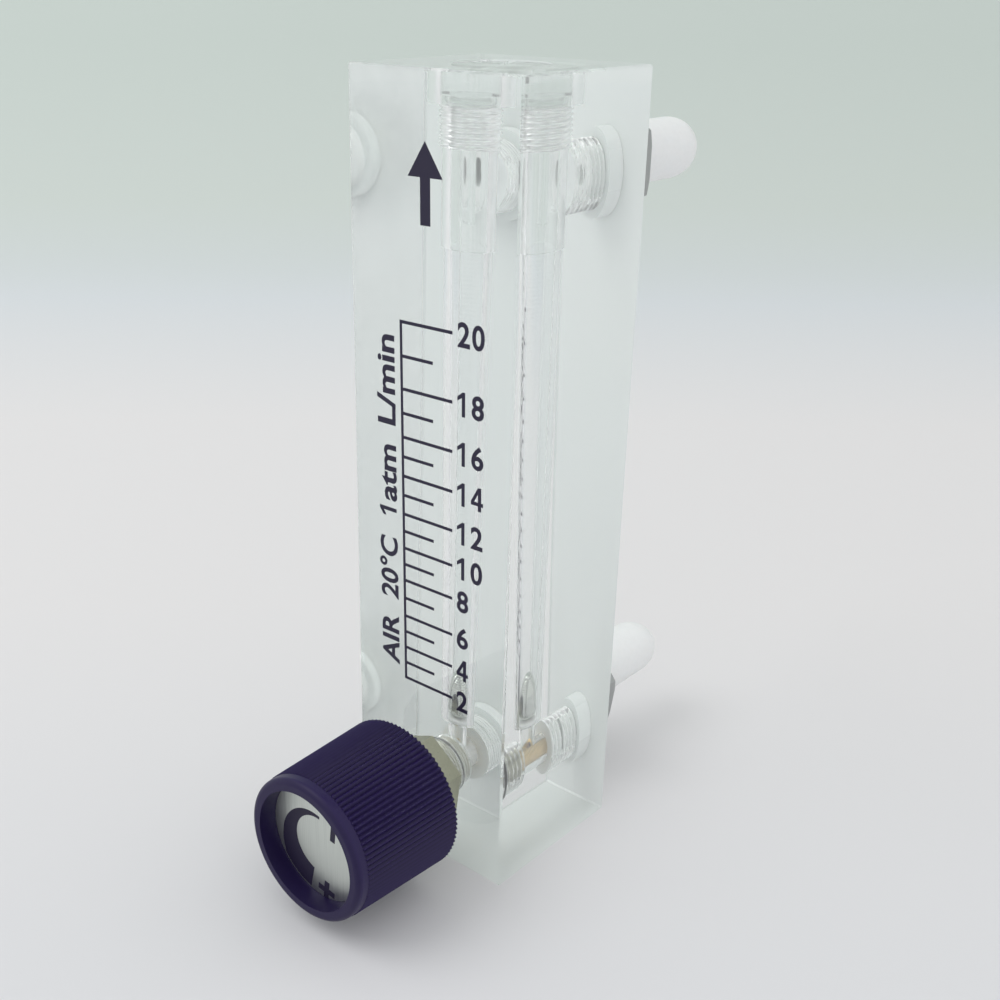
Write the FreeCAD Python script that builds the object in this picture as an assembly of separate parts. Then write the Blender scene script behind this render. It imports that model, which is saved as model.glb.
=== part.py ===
import FreeCAD, Part
import math
import os

# Panel-mounted air rotameter: a clear block with a tapered bore and float, a needle
# valve on its front and two threaded studs on its back. Millimetres, +Z up.
# The origin is the centre of the block's bottom face, and +Y points to the back.

V = FreeCAD.Vector
ORIGIN = V(0, 0, 0)
UP = V(0, 0, 1)
TURN = 360.0

# Clearances
FIT = 0.05              # radial gap between a turned piece and its hole
SEAL_GAP = 0.05         # gap between an O-ring and each wall of its groove
STOP_GAP = 0.3          # gap left at the end stop of a moving piece
OVERCUT = 1.0           # how far a cutting shape passes the face it cuts

# Clear block
BLOCK_WIDTH = 30.0
BLOCK_DEPTH = 28.0
BLOCK_HEIGHT = 120.0
EDGE_BREAK = 0.3
VALVE_HEIGHT = 14.3     # valve and lower port axis above the bottom face
PORT_DROP = 14.6        # upper port axis below the top face

# Float, its seat and the tapered bore
FLOAT_R = 3.0
FLOAT_HEIGHT = 7.4
FLOAT_SHOULDER = 2.9    # height of the widest line above the float's foot
FLOAT_SKIRT = 0.5       # straight stretch below the widest line
FLOAT_FOOT_R = 2.0
TAPER_CLEARANCE = 0.1   # between the float and the foot of the taper
TAPER_GROWTH = 0.9      # how much wider the taper is at its top
TAPER_RISE = 6.7        # foot of the taper above the valve axis
CHAMBER_DROP = 9.1      # top of the taper below the upper port axis
CHAMBER_STEP = 0.4
RISER_R = 1.8
SEAT_RING_HEIGHT = 0.8

# Top plug
PLUG_THREAD_STEP = 0.5  # thread radius over the chamber radius
PLUG_THREAD_LENGTH = 5.6
PLUG_HEAD_STEP = 1.95
PLUG_HEAD_HEIGHT = 3.4
PLUG_RECESS = 0.2
PLUG_SEAL_D = 1.1
PLUG_SLOT_WIDTH = 1.2
PLUG_SLOT_DEPTH = 1.6
PLUG_SLOT_TURN = 26.0
STOP_ROD_R = 1.5
STOP_ROD_LENGTH = 10.1

# Valve cartridge and seat
CARTRIDGE_R = 2.8
CARTRIDGE_BORE_R = 1.8
CARTRIDGE_COLLAR = 2.9  # threaded end that screws in from the back
CARTRIDGE_HOLE_R = 1.5
SEAT_R = 1.1
SEAT_LAND = 2.3
CARTRIDGE_NOSE = 0.3    # how far the cartridge stands out of its bore

# Bonnet
BONNET_THREAD_R = 4.3
BONNET_BORE_DEPTH = 11.4
BONNET_SHANK_R = 4.75
BONNET_SHANK_DEPTH = 7.0
BONNET_SEAL_D = 1.1
HEX_FLATS = 13.0
HEX_LENGTH = 6.2
HEX_CHAMFER = 0.6
HEX_TURN = 7.0
NOSE_R = 4.2
NOSE_LENGTH = 3.2

# Needle spindle
STEM_R = 2.2
SPINDLE_THREAD_R = 3.0
SPINDLE_THREAD_LENGTH = 4.5
SPINDLE_THREAD_SETBACK = 0.9
VALVE_TRAVEL = 3.0      # six turns of a 0.5 mm thread
NEEDLE_R = 1.3
NEEDLE_TIP_R = 0.45
NEEDLE_TAPER = 3.0
NEEDLE_REACH = 2.1      # how far the needle's tip passes the seat edge
STEM_SEAL_D = 0.65
STEM_SEAL_SPACING = 2.6
STEM_SEAL_INSET = 2.0   # first seal behind the bonnet's nose

# Knob
KNOB_REAR_R = 12.25
KNOB_FRONT_R = 11.55
KNOB_LENGTH = 20.0
KNOB_STANDOFF = 6.85
KNOB_RIBS = 90
KNOB_RIB_DEPTH = 0.35
KNOB_RING = 1.95        # smooth ring in front of the ribs
KNOB_RING_STEP = 0.15
KNOB_RING_ROUND = 0.9
KNOB_WALL = 2.4
KNOB_FRONT_WALL = 4.0
HUB_R = 5.2
HUB_GAP = 1.3           # between the hub and the bonnet's nose
DIAL_R = 9.5
DIAL_THICKNESS = 0.5
DIAL_RECESS = 3.1

# Brass insert and screw that hold the knob on the spindle
INSERT_R = 3.6
INSERT_WALL = 0.8
DRIVE_R = 1.9
DRIVE_FLAT = 1.4
SCREW_HEAD_R = 2.2
SCREW_HEAD_HEIGHT = 1.3
SCREW_R = 1.0
SCREW_LENGTH = 4.5
SCREW_HEAD_ROOM = 0.4
SCREW_SLOT_WIDTH = 0.6
SCREW_SLOT_DEPTH = 0.65

# Rear studs, with hose nipples
STUD_R = 5.0
STUD_BORE_DEPTH = 10.0
STUD_COLLAR_R = 6.25
STUD_COLLAR = 1.4
STUD_COLLAR_INSET = 0.2
STUD_END_GAP = 0.3
STUD_REACH = 13.0       # threaded length behind the block
STUD_PASSAGE_R = 2.0
TAPE_THICKNESS = 0.2
PORT_SEAL_THICKNESS = 1.5
PORT_COUNTERBORE_DEPTH = 3.2
NIPPLE_R = 3.3
NIPPLE_LENGTH = 17.0
BARB_R = 4.0
BARBS = 4
BARB_TIP_R = 3.0

# Panel nuts, washers and port caps
NUT_FLATS = 16.0
NUT_THICKNESS = 5.0
NUT_CHAMFER = 0.9
NUT_BACKSET = 1.3       # thread left showing behind the nut
LOWER_NUT_TURN = 8.0
WASHER_R = 9.0
WASHER_THICKNESS = 1.0
WASHER_CLEARANCE = 0.25
CAP_WALL = 0.7
CAP_GAP = 0.3
CAP_DOME = 5.8
CAP_TIP = 3.7           # closed end past the nipple

# Stations that follow from the sizes above
FRONT = -BLOCK_DEPTH / 2
BACK = BLOCK_DEPTH / 2
PORT_HEIGHT = BLOCK_HEIGHT - PORT_DROP
TAPER_FOOT = VALVE_HEIGHT + TAPER_RISE
TAPER_TOP = PORT_HEIGHT - CHAMBER_DROP
TAPER_FOOT_R = FLOAT_R + TAPER_CLEARANCE
TAPER_TOP_R = TAPER_FOOT_R + TAPER_GROWTH
CHAMBER_R = TAPER_TOP_R + CHAMBER_STEP
PLUG_THREAD_R = CHAMBER_R + PLUG_THREAD_STEP
PLUG_HEAD_R = PLUG_THREAD_R + PLUG_HEAD_STEP
PLUG_TOP = BLOCK_HEIGHT - PLUG_RECESS
PLUG_SHOULDER = PLUG_TOP - PLUG_HEAD_HEIGHT
PLUG_SEAT = PLUG_SHOULDER - PLUG_SEAL_D - 2 * SEAL_GAP
PLUG_FOOT = PLUG_SEAT - PLUG_THREAD_LENGTH
FRONT_STEP = FRONT + BONNET_BORE_DEPTH
BACK_STEP = BACK - STUD_BORE_DEPTH
CARTRIDGE_END = BACK_STEP + CARTRIDGE_COLLAR
SEAT_EDGE = CARTRIDGE_END - SEAT_LAND
NEEDLE_END = SEAT_EDGE + NEEDLE_REACH
BONNET_SEAT = FRONT + BONNET_SHANK_DEPTH
BONNET_NECK = BONNET_SEAT - BONNET_SEAL_D - 2 * SEAL_GAP
BONNET_END = FRONT_STEP - CARTRIDGE_NOSE - STOP_GAP
HEX_END = FRONT - HEX_LENGTH
NOSE_END = HEX_END - NOSE_LENGTH
SPINDLE_THREAD_START = BONNET_END - SPINDLE_THREAD_SETBACK
SPINDLE_THREAD_END = SPINDLE_THREAD_START - SPINDLE_THREAD_LENGTH
BONNET_STOP = SPINDLE_THREAD_END - VALVE_TRAVEL - STOP_GAP
KNOB_REAR = FRONT - KNOB_STANDOFF
KNOB_FRONT = KNOB_REAR - KNOB_LENGTH
RIB_END = KNOB_FRONT + KNOB_RING
DIAL_FACE = KNOB_FRONT + DIAL_RECESS
DIAL_BACK = DIAL_FACE + DIAL_THICKNESS
INSERT_FRONT = DIAL_BACK + SCREW_HEAD_ROOM + SCREW_HEAD_HEIGHT
HUB_REAR = NOSE_END - HUB_GAP
CAVITY_FLOOR = KNOB_FRONT + DIAL_RECESS + DIAL_THICKNESS + KNOB_FRONT_WALL
DRIVE_END = INSERT_FRONT + INSERT_WALL
STUD_START = CARTRIDGE_END + STUD_END_GAP
STUD_END = BACK + STUD_REACH
COUNTERBORE_FLOOR = BACK - PORT_COUNTERBORE_DEPTH
STUD_COLLAR_BACK = BACK - STUD_COLLAR_INSET
STUD_COLLAR_FRONT = STUD_COLLAR_BACK - STUD_COLLAR
NIPPLE_END = STUD_END + NIPPLE_LENGTH
NUT_BACK = STUD_END - NUT_BACKSET
NUT_FRONT = NUT_BACK - NUT_THICKNESS
CAP_MOUTH = STUD_END + CAP_GAP
CAP_END = NIPPLE_END + CAP_TIP
CAP_BORE_R = BARB_R + FIT
CAP_R = CAP_BORE_R + CAP_WALL


def turned(points):
    """Solid turned about Z from corner points (radius, height)."""
    corners = [V(radius, 0, height) for radius, height in points]
    outline = Part.makePolygon(corners + corners[:1])
    return Part.Face(outline).revolve(ORIGIN, UP, TURN)


def turned_edges(edges):
    """Solid turned about Z from edges that close an outline in the XZ plane."""
    return Part.Face(Part.Wire(edges)).revolve(ORIGIN, UP, TURN)


def rod(radius, low, high):
    return Part.makeCylinder(radius, high - low, V(0, 0, low))


def tube(inner, outer, low, high):
    return turned([(inner, low), (outer, low), (outer, high), (inner, high)])


def line(start, end):
    """Edge between two (radius, height) points."""
    return Part.makeLine(V(start[0], 0, start[1]), V(end[0], 0, end[1]))


def arc(start, middle, end):
    """Arc through three (radius, height) points."""
    return Part.Arc(*[V(radius, 0, height) for radius, height in (start, middle, end)]).toShape()


def dome(radius, start, end):
    """Edge from the side of a dome to its tip, close to a quarter ellipse."""
    pull = 4 * (math.sqrt(2) - 1) / 3
    poles = [V(radius, 0, start), V(radius, 0, start + pull * (end - start)),
             V(pull * radius, 0, end), V(0, 0, end)]
    curve = Part.BezierCurve()
    curve.setPoles(poles)
    return curve.toShape()


def laid_back(shape, height):
    """Turns a Z-axis piece to run along Y, its top to the back, at the given height."""
    piece = shape.copy()
    piece.rotate(ORIGIN, V(1, 0, 0), -90)
    piece.translate(V(0, 0, height))
    return piece


def o_ring(section, inner_r, middle):
    """O-ring about Z, by its section diameter, inside radius and height."""
    return Part.makeTorus(inner_r + section / 2, section / 2, V(0, 0, middle))


def slot_cutter(width, radius, low, high):
    """Box that cuts a screwdriver slot right across a head of the given radius."""
    reach = radius + OVERCUT
    return Part.makeBox(width, 2 * reach, high - low, V(-width / 2, -reach, low))


def hexagon(flats, low, high):
    corner_r = flats / math.sqrt(3)
    corners = [math.radians(60 * k + 30) for k in range(7)]
    outline = [V(corner_r * math.cos(a), corner_r * math.sin(a), low) for a in corners]
    return Part.Face(Part.makePolygon(outline)).extrude(V(0, 0, high - low))


def hexagon_chamfered(flats, low, high, chamfer_low, chamfer_high):
    """Hexagon whose corners are turned off at 30 degrees at each end."""
    corner_r = flats / math.sqrt(3)
    reach = corner_r + chamfer_low + chamfer_high
    slope = math.sqrt(3)
    envelope = turned([
        (0, low), (corner_r - chamfer_low, low),
        (reach, low + (reach - corner_r + chamfer_low) / slope),
        (reach, high - (reach - corner_r + chamfer_high) / slope),
        (corner_r - chamfer_high, high), (0, high)])
    return hexagon(flats, low, high).common(envelope)


def flow_body():
    block = Part.makeBox(BLOCK_WIDTH, BLOCK_DEPTH, BLOCK_HEIGHT, V(-BLOCK_WIDTH / 2, FRONT, 0))
    block = block.makeChamfer(EDGE_BREAK, block.Edges)
    upright = turned([
        (0, VALVE_HEIGHT), (RISER_R, VALVE_HEIGHT), (RISER_R, TAPER_FOOT),
        (TAPER_FOOT_R, TAPER_FOOT), (TAPER_TOP_R, TAPER_TOP),
        (CHAMBER_R, TAPER_TOP), (CHAMBER_R, PLUG_FOOT),
        (PLUG_THREAD_R + FIT, PLUG_FOOT), (PLUG_THREAD_R + FIT, PLUG_SEAT),
        (PLUG_HEAD_R + FIT, PLUG_SEAT), (PLUG_HEAD_R + FIT, BLOCK_HEIGHT + OVERCUT),
        (0, BLOCK_HEIGHT + OVERCUT)])
    port = [(STUD_R + FIT, BACK_STEP), (STUD_R + FIT, COUNTERBORE_FLOOR),
            (STUD_COLLAR_R + FIT, COUNTERBORE_FLOOR), (STUD_COLLAR_R + FIT, BACK + OVERCUT),
            (0, BACK + OVERCUT)]
    valve_line = turned([
        (0, FRONT - OVERCUT), (BONNET_SHANK_R + FIT, FRONT - OVERCUT), (BONNET_SHANK_R + FIT, BONNET_SEAT),
        (BONNET_THREAD_R + FIT, BONNET_SEAT), (BONNET_THREAD_R + FIT, FRONT_STEP),
        (CARTRIDGE_R + FIT, FRONT_STEP), (CARTRIDGE_R + FIT, BACK_STEP)] + port)
    upper_port = turned([(0, 0), (STUD_PASSAGE_R, 0), (STUD_PASSAGE_R, BACK_STEP)] + port)
    block = block.cut(upright)
    block = block.cut(laid_back(valve_line, VALVE_HEIGHT))
    return block.cut(laid_back(upper_port, PORT_HEIGHT))


def float_body():
    foot = TAPER_FOOT + SEAT_RING_HEIGHT
    shoulder = foot + FLOAT_SHOULDER
    skirt = shoulder - FLOAT_SKIRT
    tip = foot + FLOAT_HEIGHT
    bend = 1 - math.sqrt(0.5)
    foot_middle = (FLOAT_R - (FLOAT_R - FLOAT_FOOT_R) * bend, foot + (skirt - foot) * bend)
    return turned_edges([
        line((0, foot), (FLOAT_FOOT_R, foot)),
        arc((FLOAT_FOOT_R, foot), foot_middle, (FLOAT_R, skirt)),
        line((FLOAT_R, skirt), (FLOAT_R, shoulder)),
        dome(FLOAT_R, shoulder, tip),
        line((0, tip), (0, foot))])


def float_seat():
    return tube(RISER_R, TAPER_FOOT_R - FIT, TAPER_FOOT, TAPER_FOOT + SEAT_RING_HEIGHT)


def top_plug():
    plug = turned([
        (0, PLUG_FOOT - STOP_ROD_LENGTH), (STOP_ROD_R, PLUG_FOOT - STOP_ROD_LENGTH),
        (STOP_ROD_R, PLUG_FOOT), (PLUG_THREAD_R, PLUG_FOOT), (PLUG_THREAD_R, PLUG_SHOULDER),
        (PLUG_HEAD_R, PLUG_SHOULDER), (PLUG_HEAD_R, PLUG_TOP), (0, PLUG_TOP)])
    slot = slot_cutter(PLUG_SLOT_WIDTH, PLUG_HEAD_R, PLUG_TOP - PLUG_SLOT_DEPTH, PLUG_TOP + OVERCUT)
    slot.rotate(ORIGIN, UP, PLUG_SLOT_TURN)
    return plug.cut(slot)


def top_plug_seal():
    return o_ring(PLUG_SEAL_D, PLUG_THREAD_R + SEAL_GAP, PLUG_SEAT + SEAL_GAP + PLUG_SEAL_D / 2)


def valve_cartridge():
    """Brass sleeve with the needle's seat at its back and a side hole to the riser."""
    funnel = CARTRIDGE_BORE_R - SEAT_R
    front = FRONT_STEP - CARTRIDGE_NOSE
    sleeve = turned([
        (CARTRIDGE_BORE_R, front), (CARTRIDGE_R, front), (CARTRIDGE_R, BACK_STEP),
        (STUD_R, BACK_STEP), (STUD_R, CARTRIDGE_END), (SEAT_R, CARTRIDGE_END),
        (SEAT_R, SEAT_EDGE), (CARTRIDGE_BORE_R, SEAT_EDGE - funnel)])
    side_hole = rod(CARTRIDGE_HOLE_R, VALVE_HEIGHT, VALVE_HEIGHT + 2 * CARTRIDGE_R)
    return laid_back(sleeve, VALVE_HEIGHT).cut(side_hole)


def valve_bonnet():
    """Hexagon gland that screws into the block and carries the spindle."""
    neck_r = BONNET_SHANK_R - BONNET_SEAL_D - SEAL_GAP
    barrel = turned([
        (0, NOSE_END), (NOSE_R, NOSE_END), (NOSE_R, FRONT), (BONNET_SHANK_R, FRONT),
        (BONNET_SHANK_R, BONNET_NECK), (neck_r, BONNET_NECK), (neck_r, BONNET_SEAT),
        (BONNET_THREAD_R, BONNET_SEAT), (BONNET_THREAD_R, BONNET_END), (0, BONNET_END)])
    hexagon_head = hexagon_chamfered(HEX_FLATS, HEX_END, FRONT, HEX_CHAMFER, 0)
    hexagon_head.rotate(ORIGIN, UP, HEX_TURN)
    bore = turned([
        (0, NOSE_END - OVERCUT), (STEM_R + FIT, NOSE_END - OVERCUT), (STEM_R + FIT, BONNET_STOP),
        (SPINDLE_THREAD_R + FIT, BONNET_STOP), (SPINDLE_THREAD_R + FIT, BONNET_END + OVERCUT),
        (0, BONNET_END + OVERCUT)])
    gland = hexagon_head.fuse(barrel).removeSplitter()
    return laid_back(gland.cut(bore), VALVE_HEIGHT)


def bonnet_seal():
    inner_r = BONNET_SHANK_R + FIT - SEAL_GAP - BONNET_SEAL_D
    middle = BONNET_SEAT - SEAL_GAP - BONNET_SEAL_D / 2
    return laid_back(o_ring(BONNET_SEAL_D, inner_r, middle), VALVE_HEIGHT)


def stem_seal_stations():
    first = NOSE_END + STEM_SEAL_INSET
    return [first, first + STEM_SEAL_SPACING]


def stem_seal(middle):
    return laid_back(o_ring(STEM_SEAL_D, STEM_R - STEM_SEAL_D, middle), VALVE_HEIGHT)


def flat_sided(radius, flat, low, high):
    """Round rod with one flat at the given distance from its axis."""
    keep = Part.makeBox(radius + flat, 2 * radius, high - low, V(-radius, -radius, low))
    return rod(radius, low, high).common(keep)


def needle_spindle():
    stem = turned([
        (0, NEEDLE_END), (NEEDLE_TIP_R, NEEDLE_END), (NEEDLE_R, NEEDLE_END - NEEDLE_TAPER),
        (NEEDLE_R, SPINDLE_THREAD_START), (SPINDLE_THREAD_R, SPINDLE_THREAD_START),
        (SPINDLE_THREAD_R, SPINDLE_THREAD_END), (STEM_R, SPINDLE_THREAD_END),
        (STEM_R, HUB_REAR), (0, HUB_REAR)])
    drive = flat_sided(DRIVE_R, DRIVE_FLAT, DRIVE_END + FIT, HUB_REAR)
    screw_hole = rod(SCREW_R + FIT, DRIVE_END, INSERT_FRONT + SCREW_LENGTH + STOP_GAP)
    spindle = stem.fuse(drive).cut(screw_hole)
    groove_r = STEM_R - STEM_SEAL_D - SEAL_GAP
    half = STEM_SEAL_D / 2 + SEAL_GAP
    for middle in stem_seal_stations():
        spindle = spindle.cut(tube(groove_r, STEM_R + OVERCUT, middle - half, middle + half))
    return laid_back(spindle, VALVE_HEIGHT)


def ribbed_outline(radius, height):
    """Closed outline of the knob's ribs at one height."""
    points = []
    for k in range(2 * KNOB_RIBS):
        angle = math.pi * k / KNOB_RIBS
        reach = radius - KNOB_RIB_DEPTH * (k % 2)
        points.append(V(reach * math.cos(angle), reach * math.sin(angle), height))
    return Part.makePolygon(points + points[:1])


def knob_ring():
    """Smooth ring at the knob's front, its outer edge rounded."""
    outer = KNOB_FRONT_R - KNOB_RING_STEP
    bend = KNOB_RING_ROUND * (1 - math.sqrt(0.5))
    return turned_edges([
        line((0, RIB_END), (outer, RIB_END)),
        line((outer, RIB_END), (outer, KNOB_FRONT + KNOB_RING_ROUND)),
        arc((outer, KNOB_FRONT + KNOB_RING_ROUND), (outer - bend, KNOB_FRONT + bend),
            (outer - KNOB_RING_ROUND, KNOB_FRONT)),
        line((outer - KNOB_RING_ROUND, KNOB_FRONT), (0, KNOB_FRONT)),
        line((0, KNOB_FRONT), (0, RIB_END))])


def knob():
    ribs = Part.makeLoft([ribbed_outline(KNOB_FRONT_R, RIB_END),
                          ribbed_outline(KNOB_REAR_R, KNOB_REAR)], True, True)
    cavity_r = KNOB_REAR_R - KNOB_WALL
    floor_r = KNOB_FRONT_R - KNOB_WALL
    cavity = turned([
        (HUB_R, CAVITY_FLOOR), (floor_r, CAVITY_FLOOR), (cavity_r, KNOB_REAR + OVERCUT),
        (0, KNOB_REAR + OVERCUT), (0, HUB_REAR), (HUB_R, HUB_REAR)])
    middle = turned([
        (0, KNOB_FRONT - OVERCUT), (DIAL_R + FIT, KNOB_FRONT - OVERCUT), (DIAL_R + FIT, DIAL_BACK),
        (INSERT_R + FIT, DIAL_BACK), (INSERT_R + FIT, HUB_REAR + OVERCUT), (0, HUB_REAR + OVERCUT)])
    body = ribs.fuse(knob_ring())
    return laid_back(body.cut(cavity).cut(middle), VALVE_HEIGHT)


def knob_insert():
    """Brass insert moulded into the hub, with a flat in its bore."""
    insert = rod(INSERT_R, INSERT_FRONT, HUB_REAR)
    bore = flat_sided(DRIVE_R + FIT, DRIVE_FLAT + FIT, DRIVE_END, HUB_REAR + OVERCUT)
    screw_hole = rod(SCREW_R + FIT, INSERT_FRONT - OVERCUT, DRIVE_END + OVERCUT)
    return laid_back(insert.cut(bore).cut(screw_hole), VALVE_HEIGHT)


def knob_screw():
    head = rod(SCREW_HEAD_R, INSERT_FRONT - SCREW_HEAD_HEIGHT, INSERT_FRONT)
    shank = rod(SCREW_R, INSERT_FRONT, INSERT_FRONT + SCREW_LENGTH)
    slot = slot_cutter(SCREW_SLOT_WIDTH, SCREW_HEAD_R, INSERT_FRONT - SCREW_HEAD_HEIGHT - OVERCUT,
                       INSERT_FRONT - SCREW_HEAD_HEIGHT + SCREW_SLOT_DEPTH)
    return laid_back(head.fuse(shank).cut(slot), VALVE_HEIGHT)


def knob_dial():
    return laid_back(rod(DIAL_R, DIAL_FACE, DIAL_BACK), VALVE_HEIGHT)


def barbed_nipple():
    """Hose nipple whose barbs slope down towards its open end."""
    pitch = NIPPLE_LENGTH / (BARBS + 1)
    points = [(STUD_PASSAGE_R, STUD_END), (NIPPLE_R, STUD_END)]
    for k in range(BARBS):
        crest = STUD_END + pitch * (k + 1)
        points += [(NIPPLE_R, crest), (BARB_R, crest)]
    points += [(BARB_TIP_R, NIPPLE_END), (STUD_PASSAGE_R, NIPPLE_END)]
    return turned(points)


def port_stud(height):
    """Hollow stud: taped thread, collar on the sealing ring, panel thread and nipple."""
    taped_r = STUD_R - TAPE_THICKNESS - FIT / 2
    stud = turned([
        (STUD_PASSAGE_R, STUD_START), (taped_r, STUD_START), (taped_r, COUNTERBORE_FLOOR),
        (STUD_R, COUNTERBORE_FLOOR), (STUD_R, STUD_COLLAR_FRONT),
        (STUD_COLLAR_R, STUD_COLLAR_FRONT), (STUD_COLLAR_R, STUD_COLLAR_BACK),
        (STUD_R, STUD_COLLAR_BACK), (STUD_R, STUD_END), (STUD_PASSAGE_R, STUD_END)])
    return laid_back(stud.fuse(barbed_nipple()), height)


def thread_tape(height):
    return laid_back(tube(STUD_R - TAPE_THICKNESS, STUD_R, STUD_START, COUNTERBORE_FLOOR), height)


def port_seal(height):
    """Flat ring between the stud's collar and the floor of the port's counterbore."""
    start = COUNTERBORE_FLOOR + SEAL_GAP
    return laid_back(tube(STUD_R + FIT, STUD_COLLAR_R, start, start + PORT_SEAL_THICKNESS), height)


def panel_nut(height, turn):
    blank = hexagon_chamfered(NUT_FLATS, NUT_FRONT, NUT_BACK, NUT_CHAMFER, NUT_CHAMFER)
    blank.rotate(ORIGIN, UP, turn)
    hole = rod(STUD_R + FIT, NUT_FRONT - OVERCUT, NUT_BACK + OVERCUT)
    return laid_back(blank.cut(hole), height)


def panel_washer(height):
    ring = tube(STUD_R + WASHER_CLEARANCE, WASHER_R, NUT_FRONT - WASHER_THICKNESS, NUT_FRONT)
    return laid_back(ring, height)


def domed_rod(radius, low, dome_start, end):
    return turned_edges([
        line((0, low), (radius, low)),
        line((radius, low), (radius, dome_start)),
        dome(radius, dome_start, end),
        line((0, end), (0, low))])


def port_cap(height):
    """Soft cap pushed over the hose nipple."""
    dome_start = CAP_END - CAP_DOME
    outside = domed_rod(CAP_R, CAP_MOUTH, dome_start, CAP_END)
    inside = domed_rod(CAP_BORE_R, CAP_MOUTH - OVERCUT, dome_start, CAP_END - CAP_WALL)
    return laid_back(outside.cut(inside), height)


def build():
    """Every piece by its node name."""
    seals = stem_seal_stations()
    pieces = {
        "flow_body": flow_body(),
        "float": float_body(),
        "float_seat": float_seat(),
        "top_plug": top_plug(),
        "top_plug_seal": top_plug_seal(),
        "valve_cartridge": valve_cartridge(),
        "valve_bonnet": valve_bonnet(),
        "bonnet_seal": bonnet_seal(),
        "stem_seal_outer": stem_seal(seals[0]),
        "stem_seal_inner": stem_seal(seals[1]),
        "needle_spindle": needle_spindle(),
        "knob": knob(),
        "knob_insert": knob_insert(),
        "knob_screw": knob_screw(),
        "knob_dial": knob_dial(),
    }
    for port, height, nut_turn in (("lower", VALVE_HEIGHT, LOWER_NUT_TURN), ("upper", PORT_HEIGHT, 0)):
        pieces["port_stud_" + port] = port_stud(height)
        pieces["thread_tape_" + port] = thread_tape(height)
        pieces["port_seal_" + port] = port_seal(height)
        pieces["panel_washer_" + port] = panel_washer(height)
        pieces["panel_nut_" + port] = panel_nut(height, nut_turn)
        pieces["port_cap_" + port] = port_cap(height)
    return pieces


os.makedirs("parts", exist_ok=True)
for node, shape in build().items():
    shape.exportStep("parts/" + node + ".step")
    print(node, len(shape.Solids), round(shape.Volume, 2), shape.isValid())
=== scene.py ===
# %% [markdown]
# # A panel rotameter for air
# The real thing is one block of clear cast acrylic with everything else screwed into it: a
# steel float in a tapered bore, a needle valve with a ribbed knob, and two hose studs. The
# CAD frame already holds every piece at its real size. This scene gives each piece its
# finish, adds what is too fine for the CAD (screw threads and print), and lights it all.

import math

import bmesh
import bpy
from mathutils import Matrix, Vector


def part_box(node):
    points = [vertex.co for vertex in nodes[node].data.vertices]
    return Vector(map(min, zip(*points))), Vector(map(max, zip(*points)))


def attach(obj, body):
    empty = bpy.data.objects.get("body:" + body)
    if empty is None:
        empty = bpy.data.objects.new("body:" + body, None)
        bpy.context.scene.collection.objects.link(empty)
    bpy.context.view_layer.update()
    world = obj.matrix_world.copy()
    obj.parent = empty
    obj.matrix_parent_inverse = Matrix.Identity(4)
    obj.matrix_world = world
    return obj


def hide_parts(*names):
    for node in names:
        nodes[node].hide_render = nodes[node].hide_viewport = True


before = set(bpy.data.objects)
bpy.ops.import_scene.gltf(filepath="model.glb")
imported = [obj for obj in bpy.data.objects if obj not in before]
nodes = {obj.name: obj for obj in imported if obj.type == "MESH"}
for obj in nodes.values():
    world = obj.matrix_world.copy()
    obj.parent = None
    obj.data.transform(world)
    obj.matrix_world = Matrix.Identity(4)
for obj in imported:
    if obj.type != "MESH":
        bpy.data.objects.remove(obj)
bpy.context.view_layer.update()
MM = 0.001
block_low, block_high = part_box("flow_body")


def middle_height(node):
    low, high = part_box(node)
    return (low.z + high.z) / 2


VALVE_HEIGHT = middle_height("knob_dial")
PORT_HEIGHT = middle_height("port_cap_upper")
print("block", [round((b - a) / MM, 2) for a, b in zip(block_low, block_high)], "mm")
print("valve at", round(VALVE_HEIGHT / MM, 2), "mm, upper port at", round(PORT_HEIGHT / MM, 2), "mm")

# %% [markdown]
# Colours are written as sRGB hex, the way a paint chart gives them, and one function turns
# them into the linear values that Blender's shaders work in. One small function adds any kind
# of node to any tree, with its settings and links in one place, so that a tree reads like a
# recipe.

# %% Helpers for colours, nodes and objects
def linear(hex_colour):
    """Linear RGBA from an sRGB hex colour such as #2A1F4B."""
    digits = hex_colour.lstrip("#")
    channels = [int(digits[k:k + 2], 16) / 255 for k in (0, 2, 4)]
    return [c / 12.92 if c <= 0.04045 else ((c + 0.055) / 1.055) ** 2.4 for c in channels] + [1.0]


def add(tree, kind, settings=None, inputs=None):
    """A new node, with its settings made and its inputs (by name or number) valued or linked."""
    node = tree.nodes.new(kind)
    for name, value in (settings or {}).items():
        setattr(node, name, value)
    for name, value in (inputs or {}).items():
        if isinstance(value, bpy.types.NodeSocket):
            tree.links.new(value, node.inputs[name])
        else:
            node.inputs[name].default_value = value
    return node


def link_new(name, data):
    piece = bpy.data.objects.new(name, data)
    bpy.context.scene.collection.objects.link(piece)
    return piece

# %% [markdown]
# ## Camera
# The meter is seen from its front right corner, a little from above and from close by, so
# the perspective is strong: the block visibly narrows towards its foot.

# %% Camera
CAMERA_PLACE = Vector((115.65, -141.49, 131.89)) * MM
CAMERA_AZIMUTH = 41.38
CAMERA_ELEVATION = 24.06
CAMERA_ROLL = 0.52
CAMERA_LENS = 46.39
CAMERA_SHIFT = (0.054, 0.0398)


def look(azimuth, elevation, roll):
    """Camera rotation from the direction it looks in, in degrees."""
    a, e, r = (math.radians(angle) for angle in (azimuth, elevation, roll))
    forward = Vector((-math.sin(a) * math.cos(e), math.cos(a) * math.cos(e), -math.sin(e)))
    level_right = Vector((math.cos(a), math.sin(a), 0))
    level_up = level_right.cross(forward)
    right = math.cos(r) * level_right + math.sin(r) * level_up
    up = math.cos(r) * level_up - math.sin(r) * level_right
    return Matrix((right, up, -forward)).transposed().to_4x4()


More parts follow.
